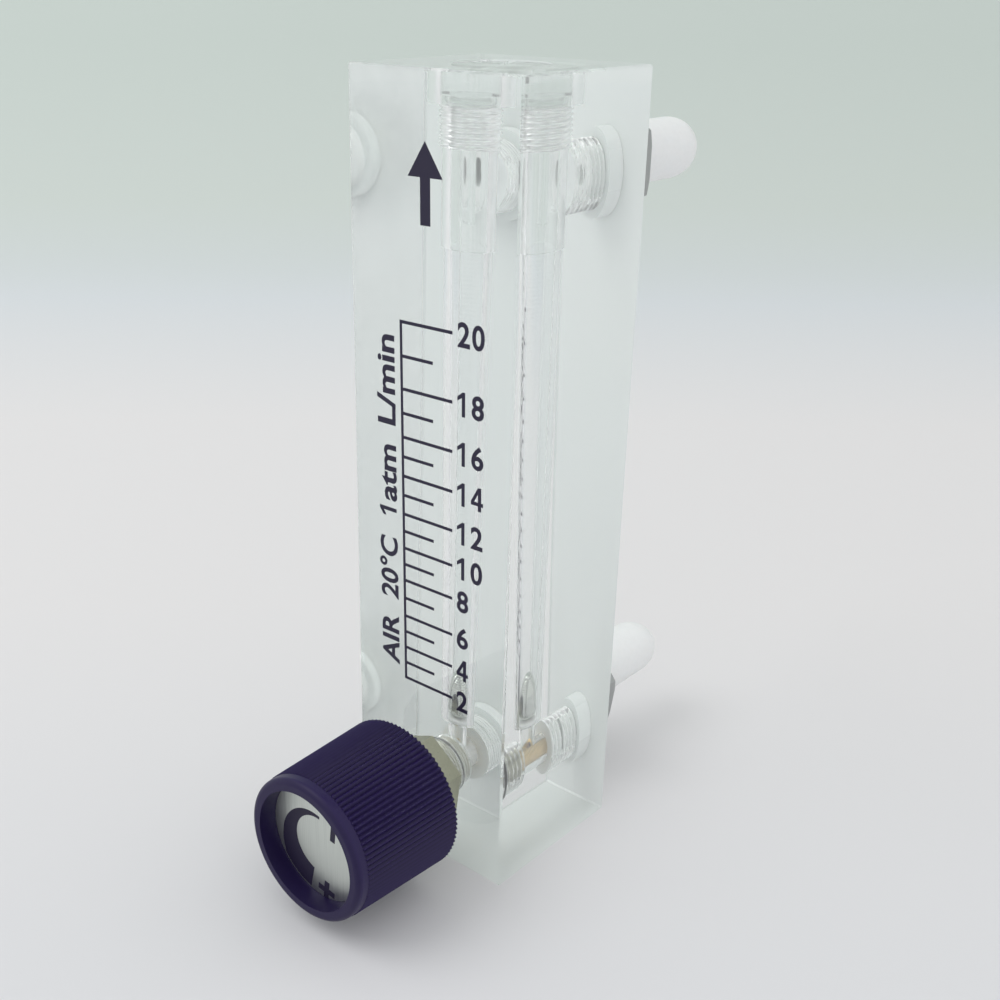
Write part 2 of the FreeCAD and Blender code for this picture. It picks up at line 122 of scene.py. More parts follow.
camera_data = bpy.data.cameras.new("camera")
camera_data.lens = CAMERA_LENS
camera_data.shift_x, camera_data.shift_y = CAMERA_SHIFT
camera_data.clip_start = 5 * MM
camera = link_new("camera", camera_data)
camera.matrix_world = Matrix.Translation(CAMERA_PLACE) @ look(
    CAMERA_AZIMUTH, CAMERA_ELEVATION, CAMERA_ROLL)
bpy.context.scene.camera = camera
print("camera", round((CAMERA_PLACE - (block_low + block_high) / 2).length / MM), "mm from the middle")

# %% [markdown]
# ## Floor and backdrop
# White paper that curves up behind the meter, as a studio hangs it, so there is no horizon. The paper's
# colour is painted a little darker and greener far back: painted shade that stands in for less light
# reaching the far paper, as a ramp along its own depth.

# %% Floor and backdrop
FLOOR_HALF = 1500 * MM
SWEEP_START = 420 * MM
SWEEP_RADIUS = 500 * MM
SWEEP_ANGLE = 80
SWEEP_STEPS = 24
FLOOR_DROP = 0.02 * MM
PAPER_NEAR, PAPER_FAR = -100 * MM, 700 * MM
# painted shade: these colours darken the white paper towards the back
PAPER_COLOURS_AND_SHADE = [(0.06, "#E1E1E4"), (0.22, "#E7E5E6"), (0.38, "#E8E6E7"), (0.58, "#DDE1E5"),
                 (0.79, "#D3DAD6"), (1.0, "#CCD5D0")]


def sweep_profile():
    """(y, z) points of the paper from its front edge to its top."""
    points = [(-FLOOR_HALF, -FLOOR_DROP), (SWEEP_START, -FLOOR_DROP)]
    for k in range(1, SWEEP_STEPS + 1):
        angle = math.radians(SWEEP_ANGLE * k / SWEEP_STEPS)
        points.append((SWEEP_START + SWEEP_RADIUS * math.sin(angle),
                       SWEEP_RADIUS * (1 - math.cos(angle)) - FLOOR_DROP))
    last_y, last_z = points[-1]
    rise = math.radians(SWEEP_ANGLE)
    points.append((last_y + FLOOR_HALF * math.cos(rise), last_z + FLOOR_HALF * math.sin(rise)))
    return points


def make_sweep():
    mesh = bpy.data.meshes.new("paper_sweep")
    vertices, faces = [], []
    for k, (y, z) in enumerate(sweep_profile()):
        vertices += [(-FLOOR_HALF, y, z), (FLOOR_HALF, y, z)]
        if k:
            faces.append((2 * k - 2, 2 * k - 1, 2 * k + 1, 2 * k))
    mesh.from_pydata(vertices, [], faces)
    for polygon in mesh.polygons:
        polygon.use_smooth = True
    mesh.transform(Matrix.Rotation(math.radians(CAMERA_AZIMUTH), 4, "Z"))
    return link_new("paper_sweep", mesh)


sweep = make_sweep()
print("paper of", len(sweep.data.polygons), "strips")

# %% [markdown]
# ## Light
# A bright overcast room and one large lamp above the left shoulder: soft, even, with a faint
# shadow to the right. At this level a colour renders about as it is written.

# %% Light
WORLD_COLOUR, WORLD_STRENGTH = "#F9FAFA", 0.91
KEY_PLACE = Vector((-540, -630, 1060)) * MM
KEY_AIM = Vector((0, 0, 60)) * MM
KEY_SIZE, KEY_POWER = 900 * MM, 3.6

world = bpy.data.worlds.new("bright_room")
bpy.context.scene.world = world
world.use_nodes = True
room = world.node_tree.nodes["Background"].inputs
room["Color"].default_value = linear(WORLD_COLOUR)
room["Strength"].default_value = WORLD_STRENGTH

key_data = bpy.data.lights.new("key_lamp", "AREA")
key_data.shape = "DISK"
key_data.size = KEY_SIZE
key_data.energy = KEY_POWER
key_lamp = link_new("key_lamp", key_data)
key_lamp.location = KEY_PLACE
key_lamp.rotation_euler = (KEY_AIM - KEY_PLACE).to_track_quat("-Z", "Y").to_euler()
bpy.context.scene.view_settings.view_transform = "Standard"
print("room at", WORLD_STRENGTH, "and a lamp of", KEY_POWER, "W")

# %% [markdown]
# ## How a finish is made here
# Every surface below starts from one Principled shader with the typical numbers of its
# material. Then one pattern, sized in real millimetres on the piece's own (Object)
# coordinates, drives three things together: the colour between two near tones, the
# roughness between two values, and a shallow bump. On a real surface they go together too,
# because a groove or a grain is darker, duller and deeper all at once. A Wave texture at
# scale 1 repeats every pi / 10 metres, so that length over a real one gives its scale.

# %% Start a material, and drive it with a pattern
WAVE_LENGTH = math.pi / 10


def start_material(name, **constants):
    """One Principled shader; returns the material, its tree, the shader and Object coordinates."""
    material = bpy.data.materials.new(name)
    material.use_nodes = True
    tree = material.node_tree
    tree.nodes.clear()
    shader = add(tree, "ShaderNodeBsdfPrincipled", inputs={
        key.replace("_", " "): value for key, value in constants.items()})
    add(tree, "ShaderNodeOutputMaterial", inputs={"Surface": shader.outputs["BSDF"]})
    place = add(tree, "ShaderNodeTexCoord").outputs["Object"]
    return material, tree, shader, place


def drive(tree, shader, pattern, colours, roughness, depth):
    """Let a 0-to-1 pattern set the shader's colour, roughness and bump, its depth in metres."""
    tone = add(tree, "ShaderNodeMix", {"data_type": "RGBA"}, {
        0: pattern, 6: linear(colours[0]), 7: linear(colours[1])})
    dullness = add(tree, "ShaderNodeMapRange", {}, {
        "Value": pattern, "To Min": roughness[0], "To Max": roughness[1]})
    relief = add(tree, "ShaderNodeBump", {}, {"Height": pattern, "Distance": depth})
    tree.links.new(tone.outputs[2], shader.inputs["Base Color"])
    tree.links.new(dullness.outputs["Result"], shader.inputs["Roughness"])
    tree.links.new(relief.outputs["Normal"], shader.inputs["Normal"])


def dress(material, *names):
    """Give CAD nodes one material."""
    for name in names:
        slots = nodes[name].data.materials
        slots.clear()
        slots.append(material)
    print(material.name, "on", ", ".join(names))

# %% [markdown]
# The backdrop's paper: uncoated, so nearly without gloss. Its ramp of painted shade runs in the direction
# the camera was turned to, so a Mapping node turns the Object coordinates back first.

# %% Matt white paper
paper, tree, shader, place = start_material("matt_white_paper", **{
    "Roughness": 0.9, "Specular_IOR_Level": 0.2})
turned_back = add(tree, "ShaderNodeMapping", {"vector_type": "TEXTURE"}, {
    "Vector": place, "Rotation": (0, 0, math.radians(CAMERA_AZIMUTH))})
depths = add(tree, "ShaderNodeSeparateXYZ", {}, {0: turned_back.outputs[0]}).outputs
far = add(tree, "ShaderNodeMapRange", {}, {
    "Value": depths["Y"], "From Min": PAPER_NEAR, "From Max": PAPER_FAR}).outputs["Result"]
# painted shade: the base colour darkens with depth along the paper
ramp = add(tree, "ShaderNodeValToRGB", {}, {"Fac": far})
while len(ramp.color_ramp.elements) < len(PAPER_COLOURS_AND_SHADE):
    ramp.color_ramp.elements.new(0.5)
for stop, (position, colour) in zip(ramp.color_ramp.elements, PAPER_COLOURS_AND_SHADE):
    stop.position = position
    stop.color = linear(colour)
tree.links.new(ramp.outputs["Color"], shader.inputs["Base Color"])
sweep.data.materials.append(paper)

# %% [markdown]
# ## The clear block's four surfaces
# Cast acrylic (PMMA, IOR 1.49) comes as a 30 mm sheet. The two sheet faces and the buffed
# front are glass-smooth with a faint waviness. The back and the foot were only ground flat,
# so they are frosted and hide the nuts behind. Drill and tap leave satin walls with fine
# rings, and the reamer leaves the long taper almost polished. A small share of the light is
# scattered on every surface: that is the faint milkiness of a thick block.

# %% Clear acrylic, polished
ACRYLIC_IOR = 1.49
BUFFING_WAVE = 8 * MM
MILKINESS = 0.08
acrylic, tree, shader, place = start_material("cast_acrylic_buffed", **{
    "IOR": ACRYLIC_IOR, "Transmission_Weight": 1 - MILKINESS})
waves = add(tree, "ShaderNodeTexNoise", {}, {
    "Vector": place, "Scale": 1 / BUFFING_WAVE, "Detail": 1.0}).outputs[0]
drive(tree, shader, waves, ("#F8FBFA", "#FBFDFC"), (0.0, 0.03), 0.006 * MM)

# %% Acrylic ground flat on the back
GRIT = 0.12 * MM      # coarser than the real 0.05 mm grit
ground_acrylic, tree, shader, place = start_material("acrylic_ground_flat", **{
    "IOR": ACRYLIC_IOR, "Transmission_Weight": 0.2})
scratches = add(tree, "ShaderNodeTexNoise", {}, {
    "Vector": place, "Scale": 1 / GRIT, "Detail": 2.0}).outputs[0]
drive(tree, shader, scratches, ("#E6ECEA", "#EAF0EE"), (0.6, 0.7), 0.0001 * MM)

# %% Acrylic drilled and tapped
DRILL_RINGS = 0.4 * MM      # feed marks, drawn twice as wide as the real ones
drilled_acrylic, tree, shader, place = start_material("acrylic_drilled", **{
    "IOR": ACRYLIC_IOR, "Transmission_Weight": 0.82})
rings = add(tree, "ShaderNodeTexWave", {"bands_direction": "Y"}, {
    "Vector": place, "Scale": WAVE_LENGTH / DRILL_RINGS, "Distortion": 1.5, "Detail": 2.0}).outputs[1]
drive(tree, shader, rings, ("#F5F9F7", "#FAFCFB"), (0.05, 0.2), 0.0005 * MM)

# %% Acrylic reamed, in the long taper
REAMER_RINGS = 0.6 * MM
reamed_acrylic, tree, shader, place = start_material("acrylic_reamed", **{
    "IOR": ACRYLIC_IOR, "Transmission_Weight": 1 - MILKINESS})
rings = add(tree, "ShaderNodeTexWave", {"bands_direction": "Z"}, {
    "Vector": place, "Scale": WAVE_LENGTH / REAMER_RINGS, "Distortion": 1.0, "Detail": 2.0}).outputs[1]
drive(tree, shader, rings, ("#F8FAFA", "#FCFDFD"), (0.0, 0.05), 0.0004 * MM)

# %% [markdown]
# ## Metals
# The float is turned from steel and polished, so it mirrors its surroundings with faint rings.
# Brass shows the lathe's rings and a warm yellow. The studs and the bonnet are brass under a
# satin nickel plate, which looks like a warm olive grey. Nuts and washers are zinc plated:
# cooler, with a soft cloud in the plating. A metal's colour is its reflectance, and its IOR
# stays as it is.

# %% Polished steel, turned brass
LATHE_RINGS = 0.3 * MM      # drawn coarser than the real 0.1 mm feed, so that they show
steel, tree, shader, place = start_material("steel_turned_and_polished", **{"Metallic": 1.0})
rings = add(tree, "ShaderNodeTexWave", {"bands_direction": "Z"}, {
    "Vector": place, "Scale": WAVE_LENGTH / LATHE_RINGS, "Distortion": 0.8, "Detail": 2.0}).outputs[1]
drive(tree, shader, rings, ("#B9BCB6", "#E6E8E3"), (0.03, 0.1), 0.0008 * MM)
dress(steel, "float")

brass, tree, shader, place = start_material("brass_turned", **{"Metallic": 1.0})
rings = add(tree, "ShaderNodeTexWave", {"bands_direction": "Y"}, {
    "Vector": place, "Scale": WAVE_LENGTH / LATHE_RINGS, "Distortion": 1.2, "Detail": 2.0}).outputs[1]
drive(tree, shader, rings, ("#C9A66B", "#E2C88F"), (0.22, 0.38), 0.002 * MM)
dress(brass, "needle_spindle", "knob_insert")

# %% Satin nickel plate
TUMBLED_GRAIN = 0.25 * MM
nickel, tree, shader, place = start_material("nickel_plate_satin", **{"Metallic": 1.0})
grain = add(tree, "ShaderNodeTexNoise", {}, {
    "Vector": place, "Scale": 1 / TUMBLED_GRAIN, "Detail": 3.0}).outputs[0]
drive(tree, shader, grain, ("#A5A390", "#BDBBA9"), (0.22, 0.4), 0.003 * MM)

# %% Zinc plate
ZINC_CLOUD = 2.2 * MM
zinc, tree, shader, place = start_material("zinc_plate_bright", **{"Metallic": 1.0})
cloud = add(tree, "ShaderNodeTexNoise", {}, {
    "Vector": place, "Scale": 1 / ZINC_CLOUD, "Detail": 5.0, "Roughness": 0.65}).outputs[0]
drive(tree, shader, cloud, ("#9EA1A4", "#B9BBB8"), (0.2, 0.42), 0.004 * MM)
dress(zinc, "knob_screw", "panel_nut_lower", "panel_nut_upper",
      "panel_washer_lower", "panel_washer_upper")

# %% [markdown]
# The disc in the knob is aluminium brushed in one direction, so its grain is a noise that is
# stretched along the brush stroke, and its highlight spreads across the stroke (anisotropy).

# %% Brushed aluminium
BRUSH_LINE = 0.16 * MM
STROKE = 12 * MM
aluminium, tree, shader, place = start_material("aluminium_brushed", **{
    "Metallic": 1.0, "Anisotropic": 0.4})
stretched = add(tree, "ShaderNodeMapping", {}, {
    "Vector": place, "Scale": (1 / BRUSH_LINE, 1 / BRUSH_LINE, 1 / STROKE)})
strokes = add(tree, "ShaderNodeTexNoise", {}, {
    "Vector": stretched.outputs[0], "Scale": 1.0, "Detail": 3.0}).outputs[0]
drive(tree, shader, strokes, ("#C3C8C2", "#E4E8E2"), (0.28, 0.48), 0.003 * MM)
dress(aluminium, "knob_dial")

# %% [markdown]
# ## Plastics, rubber and print
# The knob is a dark blue-violet phenolic or ABS moulding. Its skin has the fine grain of the spark-eroded
# mould, and fingers have polished the crests of the ribs glossier. The crests are also painted a little
# lighter, as a painted highlight along them. So two patterns are mixed: the grain, and how far a point
# stands out from the knob's axis.

# %% Moulded knob
MOULD_GRAIN = 0.18 * MM
knob_low, knob_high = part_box("knob")
KNOB_REAR_R = (knob_high.x - knob_low.x) / 2
RIB_HEIGHT = 0.35 * MM
KNOB_TAPER = 0.7 / 18.05      # how much the ribs' radius shrinks for each length forwards
CREST_SHARE = 0.55
knob_plastic, tree, shader, place = start_material("phenolic_moulded", **{
    "IOR": 1.55, "Specular_IOR_Level": 0.25})
grain = add(tree, "ShaderNodeTexNoise", {}, {
    "Vector": place, "Scale": 1 / MOULD_GRAIN, "Detail": 2.0}).outputs[0]
from_axis = add(tree, "ShaderNodeMapping", {}, {
    "Vector": place, "Location": (0, 0, -VALVE_HEIGHT), "Scale": (1, 0, 1)}).outputs[0]
reach = add(tree, "ShaderNodeVectorMath", {"operation": "LENGTH"}, {0: from_axis}).outputs["Value"]
along = add(tree, "ShaderNodeSeparateXYZ", {}, {0: place}).outputs["Y"]
straight = add(tree, "ShaderNodeMath", {"operation": "MULTIPLY_ADD"}, {
    0: along, 1: -KNOB_TAPER, 2: knob_high.y * KNOB_TAPER}).outputs[0]
untapered = add(tree, "ShaderNodeMath", {"operation": "ADD"}, {0: reach, 1: straight}).outputs[0]
crest = add(tree, "ShaderNodeMapRange", {"interpolation_type": "SMOOTHSTEP"}, {
    "Value": untapered, "From Min": KNOB_REAR_R - RIB_HEIGHT, "From Max": KNOB_REAR_R}).outputs[0]
# painted highlight: the crests get a lighter colour as well as their real lower roughness
worn_and_sheen = add(tree, "ShaderNodeMix", {"data_type": "FLOAT"}, {0: CREST_SHARE, 2: grain, 3: crest}).outputs[0]
drive(tree, shader, worn_and_sheen, ("#180D38", "#271A4E"), (0.5, 0.34), 0.006 * MM)
dress(knob_plastic, "knob")

# %% [markdown]
# The caps are soft polyethylene. Light sinks a little way into it and comes out again, which
# is subsurface scattering, so their shaded side stays pale.

# %% Soft polyethylene caps
CAP_CLOUD = 0.8 * MM
cap_plastic, tree, shader, place = start_material("polyethylene_moulded", **{
    "IOR": 1.51, "Subsurface_Weight": 0.35, "Subsurface_Scale": 1.2 * MM,
    "Subsurface_Radius": (1.0, 0.9, 0.85)})
cloud = add(tree, "ShaderNodeTexNoise", {}, {
    "Vector": place, "Scale": 1 / CAP_CLOUD, "Detail": 2.0}).outputs[0]
drive(tree, shader, cloud, ("#F0F1F1", "#F7F8F8"), (0.38, 0.5), 0.003 * MM)
dress(cap_plastic, "port_cap_lower", "port_cap_upper")

# %% [markdown]
# The seals: black nitrile rings with a dull bloom, clear silicone under the plug and a milky
# one under the float, white PTFE tape wound on the stud's thread in overlapping turns, and a ring
# punched from skived PTFE sheet, which shows the skiving knife's faint lines.

# %% Seals
RUBBER_BLOOM = 0.3 * MM
rubber, tree, shader, place = start_material("nitrile_moulded", **{"IOR": 1.52})
bloom = add(tree, "ShaderNodeTexNoise", {}, {
    "Vector": place, "Scale": 1 / RUBBER_BLOOM, "Detail": 3.0}).outputs[0]
drive(tree, shader, bloom, ("#141414", "#262626"), (0.45, 0.7), 0.004 * MM)
dress(rubber, "stem_seal_outer", "stem_seal_inner")

CLEARNESS = {"top_plug_seal": 1.0, "float_seat": 0.2}
silicones = {}
for node, clearness in CLEARNESS.items():
    silicones[node], tree, shader, place = start_material("silicone_moulded_" + node, **{
        "IOR": 1.41, "Transmission_Weight": clearness})
    bloom = add(tree, "ShaderNodeTexNoise", {}, {
        "Vector": place, "Scale": 1 / RUBBER_BLOOM, "Detail": 2.0}).outputs[0]
    drive(tree, shader, bloom, ("#EEF2F0", "#F5F8F6"), (0.02, 0.12), 0.0005 * MM)
dress(silicones["top_plug_seal"], "top_plug_seal")

# %% White PTFE
TAPE_TURN = 0.9 * MM
SKIVING_LINE = 0.3 * MM
tape, tree, shader, place = start_material("ptfe_tape_wound", **{"IOR": 1.35})
turns = add(tree, "ShaderNodeTexWave", {"bands_direction": "Y", "wave_profile": "SAW"}, {
    "Vector": place, "Scale": WAVE_LENGTH / TAPE_TURN, "Distortion": 2.0, "Detail": 2.0}).outputs[1]
drive(tree, shader, turns, ("#DDE2E0", "#E9ECEA"), (0.4, 0.55), 0.03 * MM)

skived, tree, shader, place = start_material("ptfe_sheet_skived", **{"IOR": 1.35})
lines = add(tree, "ShaderNodeTexWave", {"bands_direction": "X"}, {
    "Vector": place, "Scale": WAVE_LENGTH / SKIVING_LINE, "Distortion": 1.0, "Detail": 1.0}).outputs[1]
drive(tree, shader, lines, ("#DDE3E0", "#E4E9E6"), (0.42, 0.5), 0.003 * MM)
dress(skived, "port_seal_lower", "port_seal_upper")

# %% [markdown]
# Print is a thin film of screen ink. It is dark violet blue and matt, with the mesh of the
# screen just showing in its surface.

# %% Screen ink
SCREEN_MESH = 0.2 * MM
ink, tree, shader, place = start_material("screen_ink_printed", **{"IOR": 1.5})
mesh_marks = add(tree, "ShaderNodeTexNoise", {}, {
    "Vector": place, "Scale": 1 / SCREEN_MESH, "Detail": 1.0}).outputs[0]
drive(tree, shader, mesh_marks, ("#120A28", "#1B1236"), (0.5, 0.65), 0.002 * MM)

# %% [markdown]
# ## Screw threads
# A thread is a rule, not a shape to model by hand: the radius of the rod depends only on how
# far a point has climbed past its own turn round the axis. So one Geometry Nodes tree takes a
# cylinder and moves each point in or out by that rule, and the same tree makes every thread
# here, coarse or fine. The climb counts from the frame's own origin, not from the rod, so an
# inside and an outside thread on one axis always mesh. The last turn at each end fades out.

# %% The thread tree
STEPS_PER_TURN = 10
THREAD_FACETS = 72
FLANK_STEEPNESS = 1.25      # over 1, so that the crests are flat


def screw_tree():
    """A threaded rod about Z: a cylinder whose radius follows the thread's profile."""
    tree = bpy.data.node_groups.new("screw_thread", "GeometryNodeTree")
    for name, kind in [("Crest Radius", "Float"), ("Root Radius", "Float"), ("Pitch", "Float"),
                       ("Length", "Float"), ("Middle", "Float"), ("Facets", "Int"),
                       ("Side Steps", "Int"), ("Material", "Material")]:
        tree.interface.new_socket(name, in_out="INPUT", socket_type="NodeSocket" + kind)
    tree.interface.new_socket("Mesh", in_out="OUTPUT", socket_type="NodeSocketGeometry")
    sizes = add(tree, "NodeGroupInput").outputs
    cylinder = add(tree, "GeometryNodeMeshCylinder", {}, {
        "Vertices": sizes["Facets"], "Side Segments": sizes["Side Steps"],
        "Radius": sizes["Crest Radius"], "Depth": sizes["Length"]})
    point = add(tree, "ShaderNodeSeparateXYZ", {}, {
        0: add(tree, "GeometryNodeInputPosition").outputs[0]}).outputs
    known = {"x": point["X"], "y": point["Y"], "z": point["Z"], "pitch": sizes["Pitch"],
             "crest": sizes["Crest Radius"], "root": sizes["Root Radius"], "length": sizes["Length"],
             "middle": sizes["Middle"]}
    for result, operation, *terms in [
            ("angle", "ARCTAN2", "y", "x"),
            ("turned", "DIVIDE", "angle", 2 * math.pi),
            ("station", "ADD", "z", "middle"),
            ("climbed", "DIVIDE", "station", "pitch"),
            ("ahead", "SUBTRACT", "climbed", "turned"),
            ("phase", "FRACT", "ahead"),
            ("swing", "MULTIPLY_ADD", "phase", 2.0, -1.0),
            ("valley", "ABSOLUTE", "swing"),
            ("ridge", "SUBTRACT", 1.0, "valley"),
            ("flank", "MULTIPLY", "ridge", FLANK_STEEPNESS),
            ("profile", "MINIMUM", "flank", 1.0),
            ("half", "DIVIDE", "length", 2.0),
            ("height", "ABSOLUTE", "z"),
            ("inside", "SUBTRACT", "half", "height"),
            ("turns_in", "DIVIDE", "inside", "pitch"),
            ("fade", "MINIMUM", "turns_in", 1.0),
            ("part", "MULTIPLY", "profile", "fade"),
            ("depth", "SUBTRACT", "crest", "root"),
            ("radius", "MULTIPLY_ADD", "depth", "part", "root"),
            ("scale", "DIVIDE", "radius", "crest"),
            ("new_x", "MULTIPLY", "x", "scale"),
            ("new_y", "MULTIPLY", "y", "scale")]:
        inputs = {k: known.get(term, term) for k, term in enumerate(terms)}
        known[result] = add(tree, "ShaderNodeMath", {"operation": operation}, inputs).outputs[0]
    moved = add(tree, "ShaderNodeCombineXYZ", {}, {
        "X": known["new_x"], "Y": known["new_y"], "Z": known["z"]})
    shaped = add(tree, "GeometryNodeSetPosition", {}, {
        "Geometry": cylinder.outputs["Mesh"], "Position": moved.outputs[0]})
    real = add(tree, "GeometryNodeRealizeInstances", {}, {0: shaped.outputs[0]})
    dressed = add(tree, "GeometryNodeSetMaterial", {}, {
        "Geometry": real.outputs[0], "Material": sizes["Material"]})
    add(tree, "NodeGroupOutput", {}, {"Mesh": dressed.outputs[0]})
    return tree


SCREW = screw_tree()

# %% [markdown]
# A modifier runs a tree on an object. Its inputs are set by the socket's identifier, then the
# evaluated result is copied into a plain mesh and the modifier goes away with its carrier.

# %% Run a tree, and place its rod
def grown(tree, name, inputs, carrier_mesh=None):
    """A plain mesh from a tree, its inputs given by name."""
    carrier = link_new(name, carrier_mesh or bpy.data.meshes.new(name))
    modifier = carrier.modifiers.new("grow", "NODES")
    modifier.node_group = tree
    for item in tree.interface.items_tree:
        if item.in_out == "INPUT" and item.name in inputs:
            modifier[item.identifier] = inputs[item.name]
    graph = bpy.context.evaluated_depsgraph_get()
    mesh = bpy.data.meshes.new_from_object(carrier.evaluated_get(graph))
    bpy.data.objects.remove(carrier)
    mesh.name = name
    return mesh


class Axis:
    """The line that a bore and what is screwed into it share: upright, or front to back."""

    def __init__(self, height=None):
        self.height = height
        self.number = 2 if height is None else 1

    def matrix(self, station):
        """Where a rod made about Z goes to, with its middle at a station along the axis."""
        if self.height is None:
            return Matrix.Translation((0, 0, station))
        laid_back = Matrix.Rotation(math.radians(-90), 4, "X")
        return Matrix.Translation((0, station, self.height)) @ laid_back

    def radius(self, point):
        """How far a point is from the axis."""
        if self.height is None:
            return math.hypot(point.x, point.y)
        return math.hypot(point.x, point.z - self.height)


UPRIGHT, VALVE_AXIS, PORT_AXIS = Axis(), Axis(VALVE_HEIGHT), Axis(PORT_HEIGHT)


def rod(crest, root, pitch, start, end, side_steps, axis, material):
    """A rod between two stations of an axis."""
    middle = (start + end) / 2
    mesh = grown(SCREW, "rod", {
        "Crest Radius": crest, "Root Radius": root, "Pitch": pitch, "Length": end - start,
        "Middle": middle, "Facets": THREAD_FACETS, "Side Steps": side_steps, "Material": material})
    mesh.transform(axis.matrix(middle))
    return mesh


def threaded_rod(crest, root, pitch, start, end, axis, material):
    """A threaded rod that covers two stations, its rings on whole steps so that threads mesh."""
    step = pitch / STEPS_PER_TURN
    first, last = math.floor(start / step), math.ceil(end / step)
    return rod(crest, root, pitch, first * step, last * step, last - first, axis, material)


def plain_rod(radius, start, end, axis, material):
    return rod(radius, radius, end - start, start, end, 1, axis, material)

# %% [markdown]
# Where each thread runs is read from the CAD: the ring of corner points at its radius gives
# the thread's two ends. The pitches are 1 mm for the brass fittings and 0.7 mm for the plastic
# plug, which has eight turns in its 5.6 mm.

# %% Measure the threaded stretches
COARSE, FINE = 1.0 * MM, 0.7 * MM
DEPTH_PER_PITCH = 0.54
FIT = 0.05 * MM             # gap between a piece and its bore
SEAL_GAP = 0.05 * MM


def stretch(node, axis, least, most):
    """Radius, start and end of the part of a node whose radius lies between two limits."""
    points = [v.co for v in nodes[node].data.vertices if least <= axis.radius(v.co) <= most]
    stations = [point[axis.number] for point in points]
    found = max(axis.radius(point) for point in points), min(stations), max(stations)
    print(node, "radius %.2f from %.2f to %.2f mm" % tuple(size / MM for size in found))
    return found


shank_r, shank_start, shank_end = stretch("valve_bonnet", VALVE_AXIS, 4.7 * MM, 4.8 * MM)
bonnet_r, bonnet_start, bonnet_end = stretch("valve_bonnet", VALVE_AXIS, 4.25 * MM, 4.35 * MM)
collar_r, collar_start, collar_end = stretch("valve_cartridge", VALVE_AXIS, 4.5 * MM, 5.5 * MM)
tape_r, tape_start, tape_end = stretch("thread_tape_lower", VALVE_AXIS, 4.9 * MM, 5.5 * MM)
taped_r, taped_start, taped_end = stretch("port_stud_lower", VALVE_AXIS, 4.7 * MM, 4.85 * MM)
plug_r, plug_start = stretch("top_plug", UPRIGHT, 4.0 * MM, 5.5 * MM)[:2]
plug_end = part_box("top_plug_seal")[0].z - SEAL_GAP
collar_back = stretch("port_stud_lower", VALVE_AXIS, 6.0 * MM, 6.4 * MM)[2]
stud_end = stretch("port_stud_lower", VALVE_AXIS, 4.9 * MM, 5.1 * MM)[2]

# %% [markdown]
# ## Cutting and joining
# In the block a thread is cut the other way round: a sleeve with a threaded hole is joined to
# the bore's wall. A Boolean needs closed shells, so a CAD node's loose triangles are merged
# in a copy first.

# %% Stand a piece in for its CAD node
def stand_in(name, mesh, node):
    """A piece of the housing that replaces a CAD node."""
    piece = link_new(name, mesh)
    print(name, len(mesh.polygons), "faces")
    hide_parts(node)
    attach(piece, "housing")
    return piece

# %% Boolean tools
WELD = 0.001 * MM
SLEEVE_GRIP = 0.3 * MM


def combined(mesh, other, operation):
    """Boolean of two meshes, both of which are used up."""
    first, second = link_new("boolean_a", mesh), link_new("boolean_b", other)
    modifier = first.modifiers.new("cut", "BOOLEAN")
    modifier.operation = operation
    modifier.solver = "MANIFOLD"
    modifier.object = second
    graph = bpy.context.evaluated_depsgraph_get()
    result = bpy.data.meshes.new_from_object(first.evaluated_get(graph))
    for used in (first, second):
        data = used.data
        bpy.data.objects.remove(used)
        bpy.data.meshes.remove(data)
    return result


def merged_copy(node):
    """A CAD node's mesh with its loose triangles joined into a closed shell."""
    mesh = nodes[node].data.copy()
    shell = bmesh.new()
    shell.from_mesh(mesh)
    bmesh.ops.remove_doubles(shell, verts=shell.verts, dist=WELD)
    open_edges = sum(1 for edge in shell.edges if len(edge.link_faces) != 2)
    shell.to_mesh(mesh)
    shell.free()
    print(node, len(mesh.polygons), "faces,", open_edges, "open edges")
    return mesh


def threaded_sleeve(radius, pitch, start, end, axis):
    """A tube to fill a plain bore of this radius, with a threaded hole through it."""
    depth = DEPTH_PER_PITCH * pitch
    outside = plain_rod(radius + SLEEVE_GRIP, start, end, axis, acrylic)
    hole = threaded_rod(radius, radius - depth, pitch, start - pitch, end + pitch, axis, acrylic)
    return combined(outside, hole, "DIFFERENCE")

# %% [markdown]
# Each sleeve goes a little into the material at its blind end and stops a little inside its
# bore at the open end, so that no two faces coincide. Where a metal face is tightened on the
# acrylic, a hair of air is cut out, because a ray tracer shows two touching faces as black.

# %% The clear block with its threaded bores
SKIN = 0.4 * MM         # the chamfered skin of the block
SLIVER = 0.02 * MM      # the open end of a sleeve stays this far inside its bore
BITE = 0.2 * MM         # its blind end goes this far into the material
CARTRIDGE_NOSE = 0.3 * MM
BORE_FRONT_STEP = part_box("valve_cartridge")[0].y + CARTRIDGE_NOSE
HAIR = 0.05 * MM        # air that stays between a metal face and the acrylic it is tightened on
HEX_CORNER_R = 9 * MM


def make_block():
    mesh = merged_copy("flow_body")
    for radius, pitch, start, end, axis in [
            (shank_r, COARSE, block_low.y + SKIN, shank_end - SLIVER, VALVE_AXIS),
            (bonnet_r, COARSE, bonnet_start + SLIVER, BORE_FRONT_STEP + BITE, VALVE_AXIS),
            (collar_r, COARSE, collar_start - BITE, tape_end - SLIVER, VALVE_AXIS),
            (tape_r, COARSE, collar_start - BITE, tape_end - SLIVER, PORT_AXIS),
            (plug_r, FINE, plug_start - BITE, plug_end - SLIVER, UPRIGHT)]:
        mesh = combined(mesh, threaded_sleeve(radius + FIT, pitch, start, end, axis), "UNION")
    for radius, start, end in [(collar_r + FIT, collar_start - HAIR, collar_start + HAIR),
                               (HEX_CORNER_R, block_low.y - HAIR, block_low.y + HAIR / 2)]:
        mesh = combined(mesh, plain_rod(radius, start, end, VALVE_AXIS, acrylic), "DIFFERENCE")
    return mesh


clear_block = link_new("clear_block", make_block())

